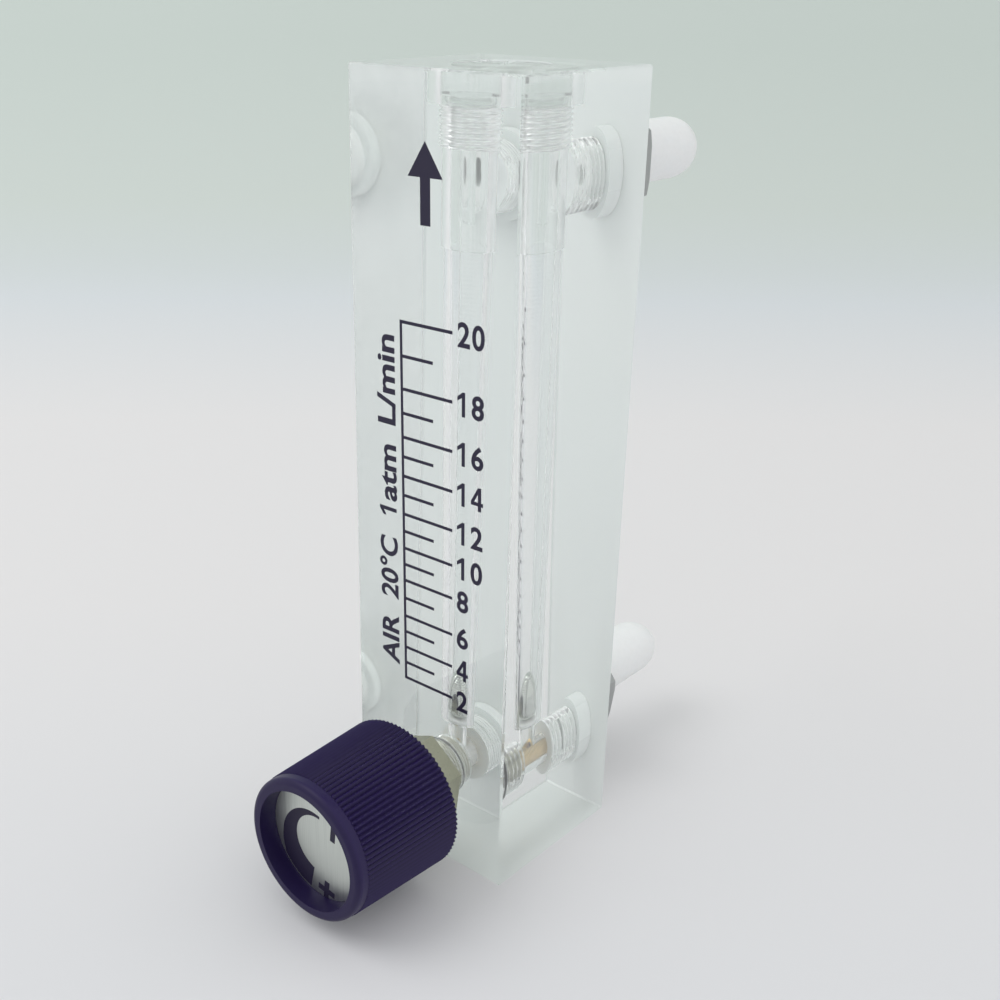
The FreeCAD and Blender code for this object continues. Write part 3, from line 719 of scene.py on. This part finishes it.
# %% [markdown]
# The block is one piece with four finishes, so each face gets the finish of the tool that
# made it: by its place, because every tool works in its own region. The stone that ground the
# back and the foot also took their sharp edges. The seats of the two ports' seals and the
# blind ends of the holes are as dull as the back, so the fittings' ends hardly show.

# %% Give each face of the block its finish
DRILLED_R = 5.2 * MM
TAPER_TOP_R = 4.2 * MM      # just over the taper's widest, and under the chamber's
BLIND_ENDS_FROM = collar_start - 2 * HAIR      # the rear holes' blind ends lie behind this
chamber_foot = min(
    v.co.z for v in nodes["flow_body"].data.vertices
    if v.co.z > block_high.z / 2 and TAPER_TOP_R < UPRIGHT.radius(v.co) < plug_r - FIT)
seal_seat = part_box("port_seal_lower")[0].y - 3 * SEAL_GAP


def surface_of(polygon):
    """0 buffed, 1 ground, 2 drilled, 3 reamed."""
    centre, normal = polygon.center, polygon.normal
    on_back = normal.y > 0.1 and block_high.y - centre.y < SKIN
    on_foot = normal.z < -0.1 and centre.z - block_low.z < SKIN
    if on_back or on_foot:
        return 1
    inside = min(min(centre[k] - block_low[k], block_high[k] - centre[k]) for k in range(3))
    if inside < SKIN:
        return 0
    in_port = min(VALVE_AXIS.radius(centre), PORT_AXIS.radius(centre)) < DRILLED_R
    blind_end = in_port and abs(normal.y) > 0.9 and centre.y > BLIND_ENDS_FROM
    if blind_end or centre.y > seal_seat:
        return 1
    in_valve_line = centre.z < VALVE_HEIGHT + DRILLED_R
    return 2 if in_valve_line or centre.z > chamber_foot - SLIVER else 3


clear_block.data.materials.clear()
for material in (acrylic, ground_acrylic, drilled_acrylic, reamed_acrylic):
    clear_block.data.materials.append(material)
for polygon in clear_block.data.polygons:
    polygon.material_index = surface_of(polygon)
for number, finish in enumerate(("buffed", "ground", "drilled", "reamed")):
    print(sum(polygon.material_index == number for polygon in clear_block.data.polygons), finish, "faces")
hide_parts("flow_body")
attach(clear_block, "housing")

# %% [markdown]
# The male threads are cut from the CAD solid as a die does it: what lies between a plain rod
# and a threaded one is taken off. White sealing paste went on before they were screwed in,
# so the cartridge's threaded collar and the studs' inner ends are white.

# %% The threaded fittings
DIE_WALL = 1 * MM
CREST_TOUCH = 0.01 * MM


def cut_thread(node, name, stretches, pitch, axis, material):
    """Replaces a CAD node by a copy with threads cut into it, each from (radius, start, end)."""
    mesh = merged_copy(node)
    for radius, start, end in stretches:
        die = plain_rod(radius + DIE_WALL, start, end, axis, material)
        core = threaded_rod(radius + CREST_TOUCH, radius - DEPTH_PER_PITCH * pitch, pitch,
                            start - pitch, end + pitch, axis, material)
        mesh = combined(mesh, combined(die, core, "DIFFERENCE"), "DIFFERENCE")
    mesh.materials.clear()
    mesh.materials.append(material)
    return stand_in(name, mesh, node)


def paste_on(piece, start, end):
    """White sealing paste on what lies between two stations from front to back."""
    piece.data.materials.append(tape)
    mesh = piece.data
    for polygon in mesh.polygons:
        foremost = min(mesh.vertices[number].co.y for number in polygon.vertices)
        if start < foremost < end:
            polygon.material_index = 1


cut_thread("valve_bonnet", "valve_bonnet_threaded",
           [(shank_r, shank_start + SLIVER, shank_end - SLIVER),
            (bonnet_r, bonnet_start, bonnet_end + COARSE)],
           COARSE, VALVE_AXIS, nickel)
cartridge = cut_thread("valve_cartridge", "valve_cartridge_threaded",
                       [(collar_r, collar_start, collar_end + COARSE)],
                       COARSE, VALVE_AXIS, brass)
paste_on(cartridge, collar_start - HAIR, collar_end + HAIR)
for port, axis in (("lower", VALVE_AXIS), ("upper", PORT_AXIS)):
    stud = cut_thread("port_stud_" + port, "port_stud_" + port + "_threaded",
                      [(taped_r, taped_start - COARSE, taped_end), (tape_r, collar_back + BITE, stud_end)],
                      COARSE, axis, nickel)
    paste_on(stud, taped_start - HAIR, block_high.y - SKIN)
clear_plug = cut_thread("top_plug", "top_plug_threaded",
                        [(plug_r, plug_start - FINE, plug_end)], FINE, UPRIGHT, acrylic)

# %% [markdown]
# The tape follows the thread that it is wound on, so it is what lies between two threaded
# rods.

# %% Tape wound on the threads
TAPE_THICKNESS = 0.2 * MM


def wound_tape(node, name, axis):
    depth = DEPTH_PER_PITCH * COARSE
    sleeve = plain_rod(tape_r + depth, tape_start, tape_end, axis, tape)
    for radius, operation in ((tape_r, "INTERSECT"), (tape_r - TAPE_THICKNESS, "DIFFERENCE")):
        core = threaded_rod(radius, radius - depth, COARSE, tape_start - COARSE, tape_end + COARSE,
                            axis, tape)
        sleeve = combined(sleeve, core, operation)
    sleeve.materials.clear()
    sleeve.materials.append(tape)
    stand_in(name, sleeve, node)


for port, axis in (("lower", VALVE_AXIS), ("upper", PORT_AXIS)):
    wound_tape("thread_tape_" + port, "thread_tape_" + port + "_wound", axis)

# %% [markdown]
# ## Pressed seals
# A rubber ring that is squeezed against acrylic has no air left between the two, so the black
# one shows through the block at its full size, as a dark ellipse. Its sides are flattened and
# bite a hair into the acrylic. The float's seat only lies on its step, with rounded edges.

# %% Squeezed rings
RING_STEPS, SECTION_STEPS = 96, 24
SQUARENESS = 0.55      # 1 is a round section, towards 0 it gets square


def squeezed_ring(node, name, axis, inner, outer, low, high, material):
    """Replaces a CAD seal by a ring with a rounded-square section between four walls."""
    mesh = bpy.data.meshes.new(name)
    middle_r, half_r = (inner + outer) / 2, (outer - inner) / 2
    middle_s, half_s = (low + high) / 2, (high - low) / 2
    vertices, faces = [], []
    for i in range(RING_STEPS):
        turn = 2 * math.pi * i / RING_STEPS
        for j in range(SECTION_STEPS):
            around = 2 * math.pi * j / SECTION_STEPS
            across, along = (math.copysign(abs(part) ** SQUARENESS, part)
                             for part in (math.cos(around), math.sin(around)))
            radius = middle_r + half_r * across
            vertices.append((radius * math.cos(turn), radius * math.sin(turn), half_s * along))
            corners = [((i + a) % RING_STEPS) * SECTION_STEPS + (j + b) % SECTION_STEPS
                       for a, b in ((0, 0), (1, 0), (1, 1), (0, 1))]
            faces.append(corners)
    mesh.from_pydata(vertices, [], faces)
    for polygon in mesh.polygons:
        polygon.use_smooth = True
    mesh.transform(axis.matrix(middle_s))
    mesh.materials.append(material)
    stand_in(name, mesh, node)


PRESS = 0.01 * MM
BONNET_SEAL_D = 1.1 * MM
RISER_R = 1.8 * MM
seal_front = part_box("bonnet_seal")[0].y
squeezed_ring("bonnet_seal", "bonnet_seal_pressed", VALVE_AXIS, shank_r + FIT - BONNET_SEAL_D,
              shank_r + FIT + PRESS, seal_front, bonnet_start + PRESS, rubber)
seat_low, seat_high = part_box("float_seat")
squeezed_ring("float_seat", "float_seat_rounded", UPRIGHT, RISER_R, seat_high.x,
              seat_low.z + SLIVER, seat_high.z, silicones["float_seat"])

# %% [markdown]
# Light that goes through clear plastic brightens what is inside, and a ray tracer finds that
# path only by luck. So the two clear pieces are left out of shadow rays and diffuse rays. The
# price is that they cast no shadow of their own on the paper.

# %% Let the light in
for piece in (clear_block, clear_plug):
    piece.visible_shadow = False
    piece.visible_diffuse = False

# %% [markdown]
# ## The printed scale
# The scale is screen printed on the front face, a little askew as it really is. Each meter is
# calibrated by its maker, so the marks follow no simple rule: they stand 5 to 6 mm apart low
# down and nearly 10 mm at the top. Each mark is a bar of its own length, so a tree puts a bar
# on every point and takes its size from the point.

# %% Sizes of the print
INK_THICKNESS = 0.025 * MM
INK_BITE = 0.01 * MM           # the film is bonded to the face, so it lies a hair inside it
PRINT_TURN = math.radians(0.7)
PRINT_PIVOT = Vector((-5.29, 0, 58.3)) * MM
LINE_WIDTH = 0.48 * MM
LONG_MARK, SHORT_MARK = 9.8 * MM, 6.2 * MM
EVEN_MARKS = {20: 86.6, 18: 76.9, 16: 69.7, 14: 63.7, 12: 57.7, 10: 52.2, 8: 46.9, 6: 40.9,
              4: 35.5, 2: 30.1}
TOP_SHORT_MARK = 81.7

marks = {reading: height * MM for reading, height in EVEN_MARKS.items()}
for reading in range(3, 19, 2):
    marks[reading] = (marks[reading - 1] + marks[reading + 1]) / 2
marks[19] = TOP_SHORT_MARK * MM
print(len(marks), "marks from", round(marks[2] / MM, 1), "to", round(marks[20] / MM, 1), "mm")


def on_front(mesh):
    """Lays a drawing (x right, y up, z ink) on the front face and turns it askew."""
    stand = Matrix.Rotation(math.radians(90), 4, "X")
    face = Matrix.Translation((0, block_low.y + INK_BITE, 0))
    askew = (Matrix.Translation(PRINT_PIVOT) @ Matrix.Rotation(-PRINT_TURN, 4, "Y")
             @ Matrix.Translation(-PRINT_PIVOT))
    mesh.transform(face @ askew @ stand)


def finish_print(name, mesh, body):
    mesh.materials.clear()
    mesh.materials.append(ink)
    piece = link_new(name, mesh)
    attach(piece, body)
    print(name, len(mesh.polygons), "faces")

# %% The mark tree
def mark_tree():
    """A bar on each point, as long and high as the point's own "size" says."""
    tree = bpy.data.node_groups.new("printed_marks", "GeometryNodeTree")
    tree.interface.new_socket("Points", in_out="INPUT", socket_type="NodeSocketGeometry")
    tree.interface.new_socket("Ink Thickness", in_out="INPUT", socket_type="NodeSocketFloat")
    tree.interface.new_socket("Material", in_out="INPUT", socket_type="NodeSocketMaterial")
    tree.interface.new_socket("Mesh", in_out="OUTPUT", socket_type="NodeSocketGeometry")
    given = add(tree, "NodeGroupInput").outputs
    bar_size = add(tree, "ShaderNodeCombineXYZ", {}, {"X": 1.0, "Y": 1.0, "Z": given["Ink Thickness"]})
    bar = add(tree, "GeometryNodeMeshCube", {}, {"Size": bar_size.outputs[0]})
    size = add(tree, "GeometryNodeInputNamedAttribute", {"data_type": "FLOAT_VECTOR"}, {"Name": "size"})
    bars = add(tree, "GeometryNodeInstanceOnPoints", {}, {
        "Points": given["Points"], "Instance": bar.outputs["Mesh"], "Scale": size.outputs[0]})
    real = add(tree, "GeometryNodeRealizeInstances", {}, {0: bars.outputs[0]})
    dressed = add(tree, "GeometryNodeSetMaterial", {}, {
        "Geometry": real.outputs[0], "Material": given["Material"]})
    add(tree, "NodeGroupOutput", {}, {"Mesh": dressed.outputs[0]})
    return tree


def scale_bars():
    """(centre, size) of every bar: the upright line, then the marks."""
    left = PRINT_PIVOT.x
    low, high = marks[2] - LINE_WIDTH / 2, marks[20] + LINE_WIDTH / 2
    rows = [((left + LINE_WIDTH / 2, (low + high) / 2), (LINE_WIDTH, high - low))]
    for reading, height in marks.items():
        length = (SHORT_MARK if reading % 2 else LONG_MARK) - LINE_WIDTH
        rows.append(((left + LINE_WIDTH + length / 2, height), (length, LINE_WIDTH)))
    return rows


points = bpy.data.meshes.new("scale_points")
rows = scale_bars()
points.from_pydata([(x, y, INK_THICKNESS / 2) for (x, y), size in rows], [], [])
sizes = points.attributes.new("size", "FLOAT_VECTOR", "POINT")
for item, (centre, (width, height)) in zip(sizes.data, rows):
    item.vector = (width, height, 1.0)
marks_mesh = grown(mark_tree(), "scale_marks", {
    "Ink Thickness": INK_THICKNESS, "Material": ink}, points)
on_front(marks_mesh)
finish_print("scale_marks", marks_mesh, "housing")

# %% [markdown]
# The flow arrow, the marks on the dial and two of the numerals are outlines filled with ink,
# so one function makes them all: closed prisms from their outlines.

# %% Ink from an outline
def ink_outlines(outlines):
    """One mesh of thin prisms from outlines of (x, y) points, anticlockwise, in metres."""
    page = bmesh.new()
    for outline in outlines:
        lower = [page.verts.new((x, y, 0)) for x, y in outline]
        upper = [page.verts.new((x, y, INK_THICKNESS)) for x, y in outline]
        page.faces.new(lower[::-1])
        page.faces.new(upper)
        for k in range(len(outline)):
            last = k - 1
            page.faces.new((lower[last], lower[k], upper[k], upper[last]))
    bmesh.ops.recalc_face_normals(page, faces=page.faces)
    sheet = bpy.data.meshes.new("print")
    page.to_mesh(sheet)
    page.free()
    return sheet

# %% [markdown]
# The numbers and the unit are text objects made bold with a small offset, turned into meshes,
# scaled to their measured size, and joined into one piece. The built-in font's 1 is a bare
# stroke and its bold 4 runs full, so these two are drawn, at a height of 1. The digits stand
# in cells of one width, as on every scale. The unit's words read upwards.

# %% Numbers and unit
BOLDNESS = 0.024
NUMBER_HEIGHT, WORD_HEIGHT = 3.52 * MM, 3.45 * MM
DIGIT_WIDTH, DIGIT_PITCH = 2.2 * MM, 2.57 * MM
NUMBER_LEFT = 10.7 * MM
WORD_FOOT = -1.2 * MM
WORDS = [("AIR", 31.8, 40.2), ("20°C", 43.1, 53.2), ("1", 56.6, 58.0), ("atm", 59.1, 67.9),
         ("L/min", 71.0, 84.3)]
STROKE_WIDTH = 0.17
ONE_STEM, FOUR_STEM = 0.23, 0.36
FOUR_BAR_LOW, FOUR_BAR_HIGH, FOUR_RIGHT = 0.22, 0.38, 0.63
DRAWN_DIGITS = {
    "1": [[(ONE_STEM, 0), (ONE_STEM + STROKE_WIDTH, 0), (ONE_STEM + STROKE_WIDTH, 1),
           (ONE_STEM + STROKE_WIDTH / 4, 1), (0, 0.79), (0, 0.62), (ONE_STEM, 0.76)]],
    "4": [[(FOUR_STEM, 0), (FOUR_STEM + STROKE_WIDTH, 0), (FOUR_STEM + STROKE_WIDTH, 1), (FOUR_STEM, 1)],
          [(0, FOUR_BAR_LOW), (FOUR_STEM, FOUR_BAR_LOW), (FOUR_STEM, FOUR_BAR_HIGH), (0, FOUR_BAR_HIGH)],
          [(FOUR_STEM + STROKE_WIDTH, FOUR_BAR_LOW), (FOUR_RIGHT, FOUR_BAR_LOW),
           (FOUR_RIGHT, FOUR_BAR_HIGH), (FOUR_STEM + STROKE_WIDTH, FOUR_BAR_HIGH)],
          [(0, FOUR_BAR_HIGH), (STROKE_WIDTH, FOUR_BAR_HIGH), (FOUR_STEM, 0.72), (FOUR_STEM, 1)]]}


def font_mesh(text):
    curve = bpy.data.curves.new("text", "FONT")
    curve.body = text
    curve.offset = BOLDNESS
    curve.extrude = INK_THICKNESS / 2
    curve.resolution_u = 4
    carrier = link_new("text", curve)
    graph = bpy.context.evaluated_depsgraph_get()
    mesh = bpy.data.meshes.new_from_object(carrier.evaluated_get(graph))
    bpy.data.objects.remove(carrier)
    bpy.data.curves.remove(curve)
    mesh.transform(Matrix.Translation((0, 0, INK_THICKNESS / 2)))
    return mesh


def letters(text):
    """A mesh of bold text, about 1 high and as thick as ink, and its box."""
    mesh = ink_outlines(DRAWN_DIGITS[text]) if text in DRAWN_DIGITS else font_mesh(text)
    corners = [vertex.co for vertex in mesh.vertices]
    low = [min(corner[k] for corner in corners) for k in range(3)]
    high = [max(corner[k] for corner in corners) for k in range(3)]
    return mesh, low, high


def printed(rows):
    """One mesh from rows of text, the width and height it fills, its lower left corner, its turn."""
    page = bmesh.new()
    for text, (width, height), (x, y), turn in rows:
        mesh, low, high = letters(text)
        mesh.transform(Matrix.Translation((x, y, 0)) @ Matrix.Rotation(math.radians(turn), 4, "Z")
                       @ Matrix.Diagonal((width / (high[0] - low[0]), height / (high[1] - low[1]), 1, 1))
                       @ Matrix.Translation((-low[0], -low[1], 0)))
        page.from_mesh(mesh)
        bpy.data.meshes.remove(mesh)
    sheet = bpy.data.meshes.new("print")
    page.to_mesh(sheet)
    page.free()
    return sheet


def number_rows():
    """Each digit in its cell; a drawn one keeps its own width."""
    for reading in sorted(EVEN_MARKS):
        for cell, digit in enumerate(str(reading)):
            low, high = letters(digit)[1:]
            width = NUMBER_HEIGHT * (high[0] - low[0]) if digit in DRAWN_DIGITS else DIGIT_WIDTH
            left = PRINT_PIVOT.x + NUMBER_LEFT + cell * DIGIT_PITCH
            yield digit, (width, NUMBER_HEIGHT), (left, marks[reading] - NUMBER_HEIGHT / 2), 0


def word_rows():
    """Words up the left side; letters that reach under the line or stay low keep their share."""
    capital = letters("H")[2][1]
    for text, foot, top in WORDS:
        low, high = letters(text)[1:]
        scale = WORD_HEIGHT / (1 if text in DRAWN_DIGITS else capital)
        place = (PRINT_PIVOT.x + WORD_FOOT - low[1] * scale, foot * MM)
        yield text, ((top - foot) * MM, (high[1] - low[1]) * scale), place, 90


for name, text_rows in (("scale_numbers", number_rows()), ("unit_words", word_rows())):
    sheet = printed(text_rows)
    on_front(sheet)
    finish_print(name, sheet, "housing")

# %% [markdown]
# Above the scale there is a plain arrow that shows which way the air flows.

# %% Flow arrow
ARROW_X, ARROW_FOOT, ARROW_TOP = -0.3, 100.2, 111.0
ARROW_STEM, ARROW_HEAD, ARROW_HEAD_HEIGHT = 0.9, 3.1, 4.6
neck = ARROW_TOP - ARROW_HEAD_HEIGHT
arrow = [(-ARROW_STEM, ARROW_FOOT), (ARROW_STEM, ARROW_FOOT), (ARROW_STEM, neck), (ARROW_HEAD, neck),
         (0, ARROW_TOP), (-ARROW_HEAD, neck), (-ARROW_STEM, neck)]
flow_arrow = ink_outlines([[((ARROW_X + x) * MM, y * MM) for x, y in arrow]])
on_front(flow_arrow)
finish_print("flow_arrow", flow_arrow, "housing")

# %% [markdown]
# ## The dial in the knob
# A wedge that grows round the disc shows which way opens the valve, from minus to plus. Its
# two edges are spirals, so they are worked out from their radii. All of it turns with the
# knob.

# %% Wedge, plus and minus on the dial
WEDGE_START, WEDGE_END, WEDGE_WIDEST = 87, 257, 217
WEDGE_INNER, WEDGE_OUTER = (4.1, 5.35), (4.6, 9.2)
WEDGE_CURVE = 1.35
WEDGE_STEPS = 48
SIGN_LENGTH, SIGN_WIDTH, SIGN_TURN = 3.4, 1.0, -7
PLUS_PLACE, MINUS_PLACE = (1.25, -8.15), (3.05, 3.1)


def polar(radius, degrees):
    angle = math.radians(degrees)
    return radius * math.cos(angle), radius * math.sin(angle)


def wedge():
    inner, outer = [], []
    for k in range(WEDGE_STEPS + 1):
        degrees = WEDGE_START + (WEDGE_END - WEDGE_START) * k / WEDGE_STEPS
        grown_by = min(1.0, (degrees - WEDGE_START) / (WEDGE_WIDEST - WEDGE_START)) ** WEDGE_CURVE
        inner.append(polar(WEDGE_INNER[0] + (WEDGE_INNER[1] - WEDGE_INNER[0]) * k / WEDGE_STEPS, degrees))
        outer.append(polar(WEDGE_OUTER[0] + (WEDGE_OUTER[1] - WEDGE_OUTER[0]) * grown_by, degrees))
    return outer + inner[::-1]


def sign(place, bars):
    """Outlines of a sign from its bars (x0, x1, y0, y1), a little askew."""
    outlines = []
    for x0, x1, y0, y1 in bars:
        corners = [Vector((x, y, 0)) for x, y in ((x0, y0), (x1, y0), (x1, y1), (x0, y1))]
        turn = Matrix.Rotation(math.radians(SIGN_TURN), 3, "Z")
        outlines.append([(place[0] + p.x, place[1] + p.y) for p in (turn @ c for c in corners)])
    return outlines


half, thin = SIGN_LENGTH / 2, SIGN_WIDTH / 2
plus = sign(PLUS_PLACE, [
    (-thin, thin, -half, half), (-half, -thin, -thin, thin), (thin, half, -thin, thin)])
minus = sign(MINUS_PLACE, [(-thin, thin, -half, half)])
dial_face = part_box("knob_dial")[0].y


def on_dial(mesh):
    mesh.transform(Matrix.Translation((0, dial_face + INK_BITE, VALVE_HEIGHT))
                   @ Matrix.Rotation(math.radians(90), 4, "X"))


for name, outlines in (("dial_wedge", [wedge()]), ("dial_plus", plus), ("dial_minus", minus)):
    drawing = ink_outlines([[(x * MM, y * MM) for x, y in outline] for outline in outlines])
    on_dial(drawing)
    finish_print(name, drawing, "knob")
